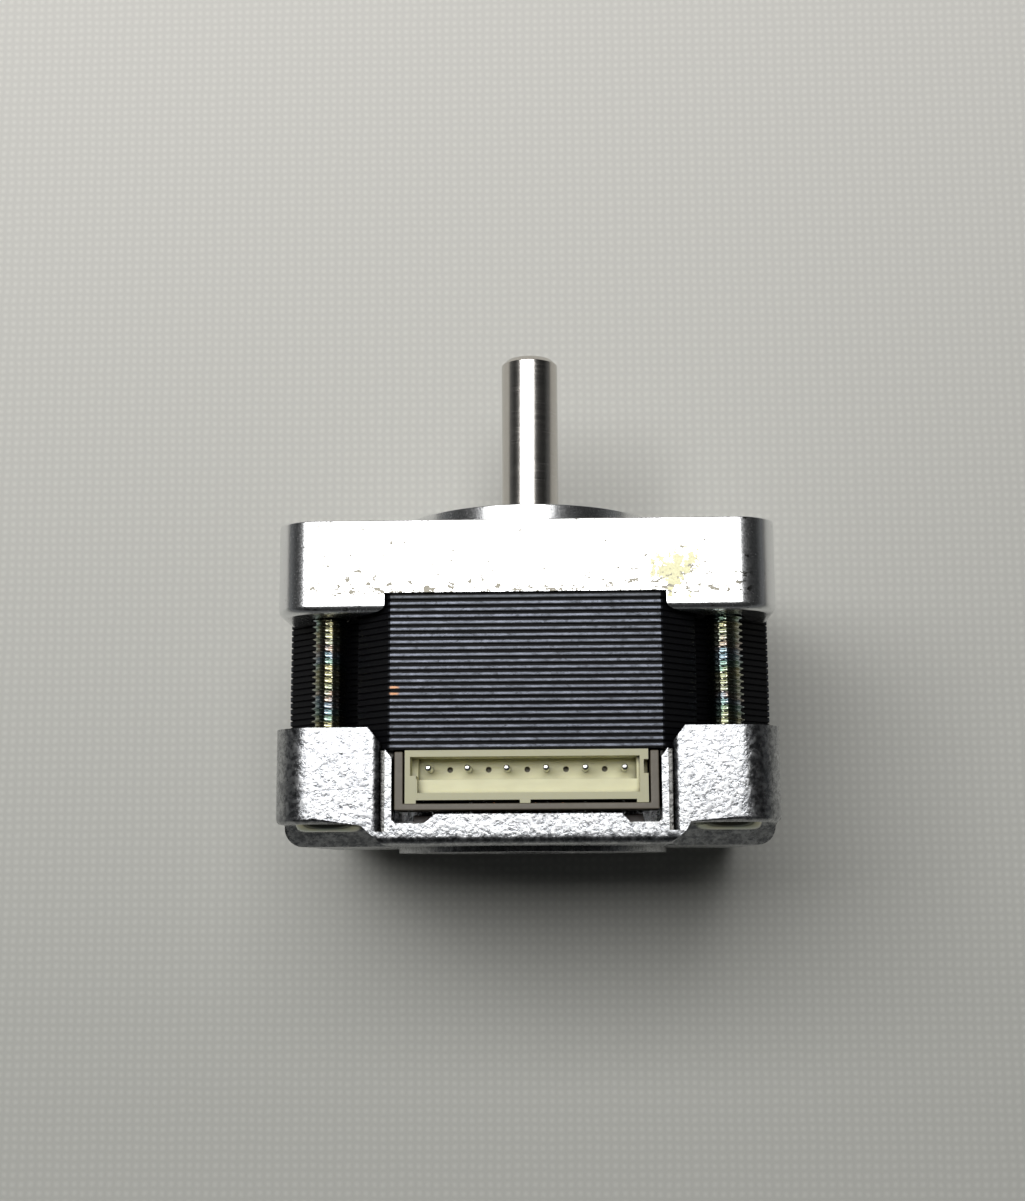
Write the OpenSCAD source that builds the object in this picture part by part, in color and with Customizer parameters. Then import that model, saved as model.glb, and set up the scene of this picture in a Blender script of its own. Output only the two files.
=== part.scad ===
// Hybrid stepper motor, 39 mm square, with a plain 5 mm shaft and a six pin plug socket.
//
// Every piece is drawn with the shaft along +Z: z = 0 is the mounting face of the front
// flange, the shaft points to +Z and the plug socket faces -Y. place() then lays the motor
// on its side, with the shaft along +Y and the plug socket facing +Z.

/* [Case] */
// Width and height of the square case
case_w = 39; // [38.8:0.1:39.4]
// Radius of the four upright corners of the case
corner_r = 3.2; // [2.4:0.1:3.4]
// Spacing of the four case screws and mounting holes
hole_spacing = 31; // [30.8:0.1:31.1]
// Diameter of the pilot boss around the shaft
pilot_d = 22; // [20:0.5:24]
// Height of the pilot boss above the mounting face
pilot_h = 3; // [2.6:0.1:3.4]

/* [Stator stack] */
// Number of steel laminations
laminations = 24; // [22:1:40]
// Thickness of one lamination with its gap
lamination_pitch = 0.5; // [0.48:0.01:0.52]

/* [Shaft] */
// Length of the shaft in front of the mounting face
shaft_out = 18.4; // [10:0.2:30]
// Length of the chamfer on each end of the shaft
shaft_chamfer = 0.45; // [0.2:0.05:0.6]

/* [Plug socket] */
// Number of contact pins
pin_count = 6; // [4:1:6]
// Distance between neighbouring pins
pin_pitch = 3; // [2.8:0.1:3]

/* [Hidden] */
$fn = 96;
e = 0.01;                          // overrun of a cutting shape

// Levels along the shaft
flange_t = 5.8;                    // front flange over the stack
skirt_l = 1.5;                     // flange corner posts below that
stack_l = laminations * lamination_pitch;
cover_t = 7.2;                     // rear cover below the stack
post_l = 1.7;                      // cover corner posts above that
stack_front = -flange_t;
stack_rear = stack_front - stack_l;
rear = stack_rear - cover_t;       // rear plane of the cover
rear_boss_h = 0.45;
front_wall = 2;                    // flange wall between the coils and the mounting face
cover_floor = 3.2;

// Case
half = case_w / 2;
hole_at = hole_spacing / 2;
cavity_r = 16.2;                   // room for the coil ends
stack_cut = 29.9;                  // |x| + |y| on the stack's corner chamfers
stack_cut_inset = 1.4;             // a chamfer moves in this much for each mm a side does
post_cut = stack_cut + 0.35;       // the same on the inner faces of the corner posts
post_bevel = [[10.2, 0], [12.1, 0], [10.2, -2.4]];   // inner top corner cut off a cover post
post_bevel_d = 1.6;
screw_boss_r = 2.4;
screw_groove_r = 2.6;
seat_hub_r = 8.3;
lip_t = 0.8;                       // lip in front of the front bearing
lip_hole_r = 4;
rear_boss_r = 11.5;
rear_hole_r = 4;

// Case screws, M3
thread_r = 1.5;
thread_pitch = 0.5;
core_r = 1.2;
thread_fit = 0.02;
shank_fit = 0.05;
thread_below = 1;                  // the thread starts this far below the stack
tip_l = 0.3;                       // chamfered end of a screw
tip_room = 0.1;
mount_hole_r = 1.25;               // core of the tapped mounting hole
mount_hole_l = 4.5;
screw_hole_r = 1.7;
pad_h = 1.6;                       // the corner pads lie this far in from the rear plane
pad_inner = 12.7;                  // where a pad starts, from the middle
ramp_top = 10.9;                   // where its ramp meets the rear plane
spotface_r = 2.9;
spotface_d = 0.6;
head_r = 2.6;
head_h = 1.14;
head_round = [0.5, 0.45];          // edge taken off a head, across and along
recess = [3, 0.55, 1.2];           // one slot of the cross recess, centred on the top of the head

// Stator and rotor teeth
rotor_r = 10;
air_gap = 0.1;
bore_r = rotor_r + air_gap;
slot_r = 16;
neck_w = 4.2;
neck_in_r = 11.5;                  // a pole's neck widens into its shoe here
shoe_r = 11.2;                     // back of the shoe
shoe_inset_a = 1.6;                // the shoe ends this far inside its outer teeth
poles = 8;
pole_teeth = 6;
rotor_teeth = 50;
tooth_angle = 360 / rotor_teeth;
tip_a = 1.6;                       // half a tooth at its tip and at its root, in degrees
root_a = 1.9;
stator_tooth_h = 0.5;
rotor_tooth_h = 0.6;
magnet_t = 1.6;
cup_l = (stack_l - magnet_t) / 2;
stack_mid = (stack_front + stack_rear) / 2;
magnet_r = 9;
groove_d = 0.15;                   // depth of the gap between two laminations
sheet_t = 0.41;                    // the full width part of one lamination

// Coils and bobbins
bobbin_t = 0.3;                    // wall against the pole
bobbin_end_t = 0.5;
bobbin_fit = 0.1;
bobbin_rim_w = 1.7;
bobbin_in = 11.1;                  // inner end of a pole's insulator
sleeve_out = 0.5;                  // a pole sleeve ends this far inside the slot
sleeve_gap = 0.05;                 // half the gap between the front and the rear sleeves
coil_in = 11.6;
coil_out = 13.3;
coil_w = 1.8;
coil_corner_r = 1.6;
guard_t = 0.4;
guard_h = 2.5;
guard_inset = 0.2;                 // the inner guards stop short of the coil by this much
lead_r = 0.15;
lead_pitch = 1.1;
lead_count = 6;

// Bearings, 5 x 13 x 4
shaft_r = 2.5;
relief_r = 2.25;                   // neck of the shaft in front of the front bearing
relief_out = 0.2;                  // it ends this far in front of the pilot
relief_slope = 0.1;
shaft_behind = 0.5;                // the shaft ends this far behind the rear bearing
bearing_r = 6.5;
bearing_l = 4;
ball_r = 1;
ball_circle_r = 4.5;
ball_count = 7;
ball_room = 0.05;
inner_race_r = 3.75;
outer_race_r = 5.25;
cage_w = 0.9;
cage_low = -0.5;                   // the cage along the shaft, from the middle of the balls
cage_high = 1.45;
pocket_room = 0.06;
shield_t = 0.2;
shield_in = 0.1;                   // a shield lies this far inside the bearing's face
shield_room = 0.1;
shim_t = 0.2;
shim_r = 3.6;
spacer_r = 3.4;
spring_t = 0.2;
spring_wave = 0.17;
spring_waves = 3;
spring_r = [5.1, 6.3];
spring_steps = 48;
front_bearing_z = pilot_h - lip_t - bearing_l;
spring_room = 0.6;
rear_wall = 0.95;
rear_bearing_z = rear - rear_boss_h + rear_wall + spring_room;

// Plug socket: window in the cover, tray, housing and pins
win_x = 10.25;
win_y = 11;                        // the window's pocket ends this far from the shaft axis
win_floor = 1.65;
win_corner = 0.4;
win_low = 1.5;                     // lower corners of the window
sill_h = 2.3;                      // the raised sill between them
sill_left = [-7.9, -6.9];          // slope at each end of the sill
sill_right = [7.2, 7.9];
rim_w = 0.5;
rim_groove_w = 0.35;
rim_groove_low = 1;
lip_wall = 0.6;
housing_x = 9.25;
housing_y = 19.25;                 // its open face, from the shaft axis
housing_back = 14.6;
housing_low = 3.1;
housing_top = 7.14;
foot_h = 0.26;
feet = [[-housing_x, -8.4], [-0.5, 0.3], [8.35, housing_x]];
cavity_x = 8.4;                    // cavity around the pins
cavity_floor = 16.2;
cavity_low = 4.94;
cavity_top = 6.64;
step_x = [-8.3, 8.6];              // shallow step below the cavity
step_floor = 18.2;
step_low = 3.9;
key_floor = 17.2;                  // key slots at the two ends of the cavity
key_left = [-8.85, 5.2];
key_right = [8.9, 5.3, 6.35];
spare_hole_r = 0.225;              // blind hole between two pins
spare_hole_at = 15.4;              // its bottom, from the shaft axis
tray_x = 10.05;
tray_wall = 0.65;
tray_low = 2.6;
tray_t = 0.5;
tray_inner = housing_back + 0.3;   // its inner end, from the shaft axis
tray_drop = 0.1;                   // it stands this much lower than the housing
tray_room = 0.25;
pin_r = 0.25;
pin_tip = 18.85;
pin_leg = 14.25;
pin_h = 5.8;
pin_point = [0.12, 0.15];          // chamfer on a pin's tip, across and along
leg_r = pin_r - 0.03;
board_x = 9;
board_t = 0.7;
board_outer = housing_back + 0.2;
board_inner = win_y + 0.3;

function above_rear(h) = rear + h;
function polar(r, a) = [r * cos(a), r * sin(a)];

module place() rotate([-90, 0, 0]) children();

// Extrudes a 2D shape from z0 up to z1.
module span(z0, z1) translate([0, 0, z0]) linear_extrude(z1 - z0) children();

module tube(r_out, r_in, z0, z1) span(z0, z1) difference() {
    circle(r_out);
    circle(r_in);
}

module box(x0, x1, y0, y1, z0, z1) translate([x0, y0, z0]) cube([x1 - x0, y1 - y0, z1 - z0]);

module rounded_rect(w, h, r) {
    square([w - 2 * r, h], center = true);
    square([w, h - 2 * r], center = true);
    for (x = [-1, 1], y = [-1, 1]) translate([x * (w / 2 - r), y * (h / 2 - r)]) circle(r);
}

module at_screws() for (x = [-1, 1], y = [-1, 1]) translate([x * hole_at, y * hole_at, 0]) children();

module each_side() for (a = [0, 90, 180, 270]) rotate(a) children();

// ---------------------------------------------------------------- case

// A square with its corners cut off where |x| + |y| reaches cut
module cut_square(w, cut) {
    b = cut - w;
    polygon([[w, b], [b, w], [-b, w], [-w, b], [-w, -b], [-b, -w], [b, -w], [w, -b]]);
}

// The four corners of the case outside the stack, with round bosses around the screws
module corner_posts(z0, z1) span(z0, z1) {
    difference() {
        rounded_rect(case_w, case_w, corner_r);
        cut_square(half + 1, post_cut);
    }
    intersection() {
        square(case_w - corner_r, center = true);
        at_screws() circle(screw_boss_r);
    }
}

module front_flange() color("gainsboro") place() difference() {
    union() {
        span(-flange_t, 0) rounded_rect(case_w, case_w, corner_r);
        corner_posts(-flange_t - skirt_l, -flange_t + e);
        span(-e, pilot_h) circle(pilot_d / 2);
    }
    span(-flange_t - e, -front_wall) circle(cavity_r);
    span(-front_wall - e, pilot_h - lip_t) circle(bearing_r);
    span(0, pilot_h + e) circle(lip_hole_r);
    at_screws() {
        span(-flange_t - skirt_l - e, -mount_hole_l) circle(thread_r);
        span(-mount_hole_l - e, e) circle(mount_hole_r);
    }
}

// One corner pad cut into the rear plane, with a ramp on its two inner sides
module corner_pad() {
    run = pad_inner - ramp_top;
    ramp = [[ramp_top - run * e / pad_h, -e], [half + 1, -e], [half + 1, pad_h], [pad_inner, pad_h]];
    intersection() {
        translate([0, half + 1, rear]) rotate([90, 0, 0]) linear_extrude(half + 1) polygon(ramp);
        translate([0, 0, rear]) rotate([90, 0, 90]) linear_extrude(half + 1) polygon(ramp);
    }
}

// The outline of the plug window in the side wall, across x and above the rear plane
module window_outline() {
    top = cover_t + 1;
    corner_x = win_x - win_corner;
    corner_h = win_low + win_corner;
    polygon([
        [-win_x, top], [-win_x, corner_h], [-corner_x, win_low],
        [sill_left[0], win_low], [sill_left[1], sill_h],
        [sill_right[0], sill_h], [sill_right[1], win_low],
        [corner_x, win_low], [win_x, corner_h], [win_x, top]
    ]);
}

module plug_window() {
    translate([0, -half + lip_wall + e, rear]) rotate([90, 0, 0]) linear_extrude(2) window_outline();
    box(-win_x, win_x, -half + lip_wall, -win_y, above_rear(win_floor), stack_rear + post_l);
    for (x = [-win_x - rim_w - rim_groove_w, win_x + rim_w])
        box(x, x + rim_groove_w, -half - 1, -half + 1, above_rear(rim_groove_low), stack_rear + post_l);
}

// The bevelled inner top corner of the cover's posts, on one side of the case
module post_bevels() for (s = [-1, 1])
    translate([0, -half + post_bevel_d, stack_rear + post_l])
        rotate([90, 0, 0]) linear_extrude(post_bevel_d + 1)
            polygon([for (p = post_bevel) [s * p[0], p[1] == 0 ? e : p[1]]]);

module rear_cover() color("silver") place() difference() {
    union() {
        difference() {
            union() {
                span(rear, stack_rear) rounded_rect(case_w, case_w, corner_r);
                corner_posts(stack_rear - e, stack_rear + post_l);
                span(rear - rear_boss_h, rear + e) circle(rear_boss_r);
            }
            span(above_rear(cover_floor), stack_rear + e) circle(cavity_r);
            plug_window();
            each_side() {
                corner_pad();
                post_bevels();
            }
        }
        span(above_rear(cover_floor) - e, rear_bearing_z + bearing_l) circle(seat_hub_r);
    }
    span(rear_bearing_z - spring_room, stack_rear) circle(bearing_r);
    span(rear - 1, rear + 1) circle(rear_hole_r);
    at_screws() {
        span(rear - 1, stack_rear + post_l + e) circle(screw_hole_r);
        span(rear - 1, above_rear(pad_h + spotface_d)) circle(spotface_r);
    }
}

// Head, plain shank, thread rings and the end held in the flange, as one turned outline
module screw_blank() {
    seat = above_rear(pad_h + spotface_d);
    top = seat - head_h;
    shank_r = thread_r - shank_fit;
    held_r = thread_r - thread_fit / 2;
    thread_start = stack_rear - thread_below;
    thread_end = stack_front - skirt_l;
    turns = floor((thread_end - thread_start) / thread_pitch);
    tip = -mount_hole_l - tip_room;
    rings = [for (i = [0 : turns - 1], k = [0, 1])
        [k == 0 ? core_r : thread_r - thread_fit, thread_start + (i + k / 2) * thread_pitch]];
    rotate_extrude() polygon(concat(
        [[0, top], [head_r - head_round[0], top], [head_r, top + head_round[1]],
         [head_r, seat], [shank_r, seat], [shank_r, thread_start - tip_room]],
        rings,
        [[core_r, thread_end], [held_r, thread_end + tip_room],
         [held_r, tip - tip_l], [core_r, tip], [0, tip]]
    ));
}

module through_screws() color("darkseagreen") place() at_screws() difference() {
    screw_blank();
    for (a = [0, 90]) rotate(a)
        translate([0, 0, above_rear(pad_h + spotface_d) - head_h])
            cube(recess, center = true);
}

// ---------------------------------------------------------------- stator

module stack_outline(inset) difference() {
    cut_square(half - inset, stack_cut - stack_cut_inset * inset);
    at_screws() circle(screw_groove_r + inset);
}

// One tooth as [radius, angle] steps from its tip: the roots are h away from it
function tooth_profile(h) = [[h, -root_a], [0, -tip_a], [0, tip_a], [h, root_a]];

// The stator bore with its slots: eight poles, each with a toothed shoe
function pole_points(a) = let (
        neck_a = asin(neck_w / 2 / slot_r),
        neck_in_a = asin(neck_w / 2 / neck_in_r),
        shoe_a = tooth_angle * pole_teeth / 2 - shoe_inset_a,
        root_r = bore_r + stator_tooth_h,
        slot_steps = 3
    ) concat(
        [polar(slot_r, a - neck_a), polar(neck_in_r, a - neck_in_a), polar(shoe_r, a - shoe_a),
         polar(root_r, a - shoe_a)],
        [for (k = [0 : pole_teeth - 1], t = tooth_profile(stator_tooth_h))
            if (!(k == 0 && t[1] == -root_a) && !(k == pole_teeth - 1 && t[1] == root_a))
            polar(bore_r + t[0], a + (k - (pole_teeth - 1) / 2) * tooth_angle + t[1])],
        [polar(root_r, a + shoe_a), polar(shoe_r, a + shoe_a), polar(neck_in_r, a + neck_in_a)],
        [for (i = [0 : slot_steps - 1])
            polar(slot_r, a + neck_a + (360 / poles - 2 * neck_a) * i / slot_steps)]
    );

module stator_bore() polygon([for (p = [0 : poles - 1]) each pole_points(p * 360 / poles)]);

module stator_stack() color("slategray") place() {
    gap = lamination_pitch - sheet_t;
    union() {
        span(stack_rear, stack_front) difference() {
            stack_outline(groove_d);
            stator_bore();
        }
        for (i = [0 : laminations - 1])
            span(stack_rear + i * lamination_pitch + gap / 2,
                 stack_rear + (i + 1) * lamination_pitch - gap / 2)
                difference() {
                    stack_outline(0);
                    circle(slot_r + 1);
                }
    }
}

// One end insulator, drawn for the front of the stack: plate, guards and pole sleeves
module bobbin_plate() {
    rim_r = slot_r - bobbin_fit;
    side = neck_w / 2 + bobbin_t;
    inner_side = side + coil_w - guard_inset;
    outer_side = side + coil_w;
    outer_guard = coil_out + bobbin_fit;
    tube(rim_r, rim_r - bobbin_rim_w, 0, bobbin_end_t);
    for (p = [0 : poles - 1]) rotate(p * 360 / poles) {
        box(bobbin_in, rim_r - bobbin_t, -side, side, 0, bobbin_end_t);
        box(bobbin_in, coil_in - bobbin_fit, -inner_side, inner_side, 0, guard_h);
        box(outer_guard, outer_guard + guard_t, -outer_side, outer_side, 0, guard_h);
    }
}

module bobbin_sleeves() for (p = [0 : poles - 1], s = [0, 1]) rotate(p * 360 / poles) mirror([0, s, 0])
    box(coil_in, slot_r - sleeve_out, neck_w / 2, neck_w / 2 + bobbin_t,
        -stack_l / 2 + sleeve_gap, e);

module front_bobbin() color("dimgray") place() translate([0, 0, stack_front]) {
    bobbin_plate();
    bobbin_sleeves();
}

module rear_bobbin() color("dimgray") place() translate([0, 0, stack_rear]) mirror([0, 0, 1]) {
    difference() {
        bobbin_plate();
        box(-tray_x - tray_room, tray_x + tray_room, -slot_r - 1, -housing_back + bobbin_fit,
            -e, guard_h + 1);
    }
    bobbin_sleeves();
}

// The coil on one pole, a flat ring wound around the pole along the radius
module coil(a) {
    in_w = neck_w + 2 * bobbin_t;
    in_l = stack_l + 2 * bobbin_end_t;
    rotate(a) translate([coil_in, 0, stack_mid]) rotate([90, 0, 90]) linear_extrude(coil_out - coil_in)
        difference() {
            rounded_rect(in_w + 2 * coil_w, in_l + 2 * coil_w, coil_corner_r);
            square([in_w, in_l], center = true);
        }
}

module phase_a_coils() color("chocolate") place() for (p = [0, 2, 4, 6]) coil(p * 360 / poles);

module phase_b_coils() color("peru") place() for (p = [1, 3, 5, 7]) coil(p * 360 / poles);

// Short wires from the windings down to the terminal board
module coil_leads() color("chocolate") place()
    for (i = [0 : lead_count - 1])
        translate([(i - (lead_count - 1) / 2) * lead_pitch, -(coil_in + coil_out) / 2, 0])
            span(above_rear(win_floor + board_t), stack_rear - bobbin_end_t - coil_w) circle(lead_r);

// ---------------------------------------------------------------- rotor

// A toothed cup, turned by half a tooth on the other cup
module rotor_cup(turn) difference() {
    linear_extrude(cup_l) polygon([
        for (k = [0 : rotor_teeth - 1], t = tooth_profile(-rotor_tooth_h))
            polar(rotor_r + t[0], (k + turn) * tooth_angle + t[1])
    ]);
    span(-e, cup_l + e) circle(shaft_r);
}

module front_rotor_cup() color("lightslategray") place()
    translate([0, 0, stack_mid + magnet_t / 2]) rotor_cup(0);

module rear_rotor_cup() color("lightslategray") place()
    translate([0, 0, stack_rear]) rotor_cup(0.5);

module rotor_magnet() color("darkslategray") place()
    tube(magnet_r, shaft_r, stack_mid - magnet_t / 2, stack_mid + magnet_t / 2);

// The shaft, with a relief where the free end leaves the front bearing
module rotor_shaft() color("lightsteelblue") place() {
    low = rear_bearing_z - shaft_behind;
    c = shaft_chamfer;
    relief = [front_bearing_z + bearing_l, pilot_h + relief_out];
    rotate_extrude() polygon([
        [0, low], [shaft_r - c, low], [shaft_r, low + c],
        [shaft_r, relief[0]], [relief_r, relief[0] + relief_slope],
        [relief_r, relief[1] - relief_slope], [shaft_r, relief[1]],
        [shaft_r, shaft_out - c], [shaft_r - c, shaft_out], [0, shaft_out]
    ]);
}

module front_spacer() color("burlywood") place()
    tube(spacer_r, shaft_r, stack_front, front_bearing_z - shim_t);

module front_shim() color("khaki") place()
    tube(shim_r, shaft_r, front_bearing_z - shim_t, front_bearing_z);

module rear_spacer() color("burlywood") place()
    tube(spacer_r, shaft_r, rear_bearing_z + bearing_l + shim_t, stack_rear);

module rear_shim() color("khaki") place()
    tube(shim_r, shaft_r, rear_bearing_z + bearing_l, rear_bearing_z + bearing_l + shim_t);

// ---------------------------------------------------------------- bearings

// A race between two radii, with the ball groove cut in
module race(z, r_in, r_out) translate([0, 0, z]) rotate_extrude() difference() {
    translate([r_in, 0]) square([r_out - r_in, bearing_l]);
    translate([ball_circle_r, bearing_l / 2]) circle(ball_r + ball_room);
}

module at_balls(z) for (i = [0 : ball_count - 1])
    rotate(i * 360 / ball_count) translate([ball_circle_r, 0, z + bearing_l / 2]) children();

module balls(z) at_balls(z) sphere(ball_r);

// A crown cage: a ring with a pocket for each ball, open on one side
module cage(z) {
    middle = z + bearing_l / 2;
    difference() {
        tube(ball_circle_r + cage_w / 2, ball_circle_r - cage_w / 2, middle + cage_low, middle + cage_high);
        at_balls(z) sphere(ball_r + pocket_room);
    }
}

module shields(z) for (at = [z + shield_in, z + bearing_l - shield_in - shield_t])
    tube(outer_race_r, inner_race_r + shield_room, at, at + shield_t);

module front_bearing_inner_race() color("lightgray") place() race(front_bearing_z, shaft_r, inner_race_r);

module front_bearing_outer_race() color("lightgray") place() race(front_bearing_z, outer_race_r, bearing_r);

module front_bearing_balls() color("white") place() balls(front_bearing_z);

module front_bearing_cage() color("goldenrod") place() cage(front_bearing_z);

module front_bearing_shields() color("darkgray") place() shields(front_bearing_z);

module rear_bearing_inner_race() color("lightgray") place() race(rear_bearing_z, shaft_r, inner_race_r);

module rear_bearing_outer_race() color("lightgray") place() race(rear_bearing_z, outer_race_r, bearing_r);

module rear_bearing_balls() color("white") place() balls(rear_bearing_z);

module rear_bearing_cage() color("goldenrod") place() cage(rear_bearing_z);

module rear_bearing_shields() color("darkgray") place() shields(rear_bearing_z);

// A thin waved ring, pressed between the rear bearing and the cover
module wave_spring() color("gray") place() {
    t = spring_t / 2;
    corners = [[spring_r[1], -t], [spring_r[1], t], [spring_r[0], t], [spring_r[0], -t]];
    points = [for (i = [0 : spring_steps - 1], c = corners) let (a = i * 360 / spring_steps)
        [c[0] * cos(a), c[0] * sin(a), c[1] + spring_wave * sin(spring_waves * a)]];
    faces = [for (i = [0 : spring_steps - 1], k = [0 : 3], half_face = [0, 1])
        let (j = (i + 1) % spring_steps, m = (k + 1) % 4)
        half_face == 0 ? [4 * i + k, 4 * i + m, 4 * j + m] : [4 * i + k, 4 * j + m, 4 * j + k]];
    translate([0, 0, rear_bearing_z - spring_room / 2]) polyhedron(points, faces);
}

// ---------------------------------------------------------------- plug socket

// A U of insulating sheet around the socket housing
module connector_tray() color("dimgray") place() difference() {
    box(-tray_x, tray_x, -housing_y, -tray_inner,
        above_rear(tray_low), above_rear(housing_top - tray_drop));
    box(-tray_x + tray_wall, tray_x - tray_wall, -half, -housing_back + 1,
        above_rear(tray_low + tray_t), above_rear(housing_top + 1));
}

function pin_x(i) = (i - (pin_count - 1) / 2) * pin_pitch;

module connector_housing() color("ivory") place() difference() {
    union() {
        box(-housing_x, housing_x, -housing_y, -housing_back,
            above_rear(housing_low + foot_h), above_rear(housing_top));
        for (x = feet)
            box(x[0], x[1], -housing_y, -housing_back,
                above_rear(housing_low), above_rear(housing_low + foot_h + e));
    }
    box(-cavity_x, cavity_x, -half, -cavity_floor, above_rear(cavity_low), above_rear(cavity_top));
    box(step_x[0], step_x[1], -half, -step_floor, above_rear(step_low), above_rear(cavity_top));
    box(key_left[0], step_x[0], -half, -key_floor, above_rear(key_left[1]), above_rear(cavity_top));
    box(key_right[0], housing_x + 1, -half, -key_floor, above_rear(key_right[1]), above_rear(key_right[2]));
    for (i = [0 : pin_count - 1])
        translate([pin_x(i), -housing_back + 1, above_rear(pin_h)]) rotate([90, 0, 0])
            cylinder(r = pin_r, h = 4);
    for (i = [0 : pin_count - 2])
        translate([pin_x(i) + pin_pitch / 2, -spare_hole_at, above_rear(pin_h)]) rotate([90, 0, 0])
            cylinder(r = spare_hole_r, h = 2);
}

// Each pin is a straight contact with a leg bent down to the terminal board
module connector_pins() color("lightyellow") place() {
    length = pin_tip - pin_leg + pin_r;
    for (i = [0 : pin_count - 1]) translate([pin_x(i), -pin_leg, 0]) {
        translate([0, pin_r, above_rear(pin_h)]) rotate([90, 0, 0]) rotate_extrude()
            polygon([[0, 0], [pin_r, 0], [pin_r, length - pin_point[1]],
                     [pin_r - pin_point[0], length], [0, length]]);
        span(above_rear(win_floor + board_t), above_rear(pin_h)) circle(leg_r);
    }
}

module terminal_board() color("saddlebrown") place()
    box(-board_x, board_x, -board_outer, -board_inner,
        above_rear(win_floor), above_rear(win_floor + board_t));

// ---------------------------------------------------------------- nodes

front_flange();
rear_cover();
stator_stack();
front_bobbin();
rear_bobbin();
phase_a_coils();
phase_b_coils();
rotor_shaft();
front_rotor_cup();
rear_rotor_cup();
rotor_magnet();
front_spacer();
rear_spacer();
front_shim();
rear_shim();
front_bearing_inner_race();
front_bearing_outer_race();
front_bearing_balls();
front_bearing_cage();
front_bearing_shields();
rear_bearing_inner_race();
rear_bearing_outer_race();
rear_bearing_balls();
rear_bearing_cage();
rear_bearing_shields();
wave_spring();
through_screws();
connector_housing();
connector_pins();
connector_tray();
terminal_board();
coil_leads();
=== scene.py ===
import math

import bmesh
import bpy
from mathutils import Matrix, Vector
from mathutils.geometry import tessellate_polygon


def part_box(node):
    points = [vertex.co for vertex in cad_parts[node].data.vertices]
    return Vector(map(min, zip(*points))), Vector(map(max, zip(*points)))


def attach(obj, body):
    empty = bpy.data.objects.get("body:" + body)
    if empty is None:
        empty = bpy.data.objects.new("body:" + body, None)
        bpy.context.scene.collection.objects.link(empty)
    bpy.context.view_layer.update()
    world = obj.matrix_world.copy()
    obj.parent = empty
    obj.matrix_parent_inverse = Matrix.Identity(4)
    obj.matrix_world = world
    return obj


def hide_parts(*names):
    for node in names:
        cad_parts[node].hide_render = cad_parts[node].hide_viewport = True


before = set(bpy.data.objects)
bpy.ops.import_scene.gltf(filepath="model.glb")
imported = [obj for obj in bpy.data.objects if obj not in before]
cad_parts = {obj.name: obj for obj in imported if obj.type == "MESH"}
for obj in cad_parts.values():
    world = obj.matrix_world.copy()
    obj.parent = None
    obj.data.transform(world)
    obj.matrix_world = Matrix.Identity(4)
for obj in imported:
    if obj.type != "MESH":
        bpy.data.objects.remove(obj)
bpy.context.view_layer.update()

MM = 0.001
CASE = "motor_case"                  # the body that every new piece rides on
QUARTER = math.pi / 2


# ---------------------------------------------------------------- sizes, in mm, from the frame

def node_box(name):
    low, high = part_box(name)
    return low / MM, high / MM


flange_low, flange_high = node_box("front_flange")
cover_low, _ = node_box("rear_cover")
stack_low, stack_high = node_box("stator_stack")
screw_low, screw_high = node_box("through_screws")
pins_low, pins_high = node_box("connector_pins")
_, board_high = node_box("terminal_board")

# Case
HALF = flange_high.x                 # half the width of the case
POST_LOW = flange_low.y              # lower end of the flange's corner posts
REAR = cover_low.y + 0.45            # rear plane of the cover, in front of its round boss
PAD = REAR + 1.6                     # corner pads under the screw heads
GROOVE_OUT = 11.1                    # |x| of the outer side of the grooves beside the plug window
GROOVE_LOW = REAR + 1.0              # their lower end
SIDE_DEPTH = 2.4                     # an edge nearer than this to the outside is on the case's sides

# Stator stack
STACK_REAR, STACK_FRONT = stack_low.y, stack_high.y
LAMINATIONS = 24
SHEET = (STACK_FRONT - STACK_REAR) / LAMINATIONS
STACK_CUT = 29.9                     # |x| + |z| on the stack's cut corners
CUT_INSET = 1.4                      # a cut corner moves in this much for each mm a side does
POST_CUT = STACK_CUT + 0.35          # |x| + |z| on the inner faces of the corner posts
SCREW_GROOVE_R = 2.6                 # round groove around each screw

# Poles and teeth
POLES, POLE_TEETH = 8, 6
BORE_R = 10.1
TOOTH_H = 0.5
TOOTH_A, TIP_A, ROOT_A = 7.2, 1.6, 1.9     # pitch, half a tip and half a root, in degrees
SHOE_INSET_A = 1.6                   # the shoe ends this far inside its outer teeth, in degrees
SHOE_R, NECK_R, SLOT_R = 11.2, 11.5, 16.0
NECK_HALF = 2.1                      # half the width of a pole's neck

# Case screws, M3
HEAD_R, HEAD_H = 2.6, 1.14
HOLE_AT = screw_high.x - HEAD_R
HEAD_LOW, SCREW_TIP = screw_low.y, screw_high.y
SHANK_R = 1.42
THREAD_R, CORE_R, PITCH = 1.485, 1.19, 0.5

# Contact pins
PINS = 6
PIN_R = 0.25


# ---------------------------------------------------------------- mesh helpers

SAME_PLACE = 0.0005                  # vertices nearer than this, in mm, are one
WELD_M = 1e-6                        # the same for the weld modifier, in metres
FLAT_A = math.radians(0.6)           # faces that meet at less than this are one flat face
SHARP_A = math.radians(28)           # edges over this angle can be rounded one by one
BEVEL_A = math.radians(30)           # edges over this angle are rounded by the modifier


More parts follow.
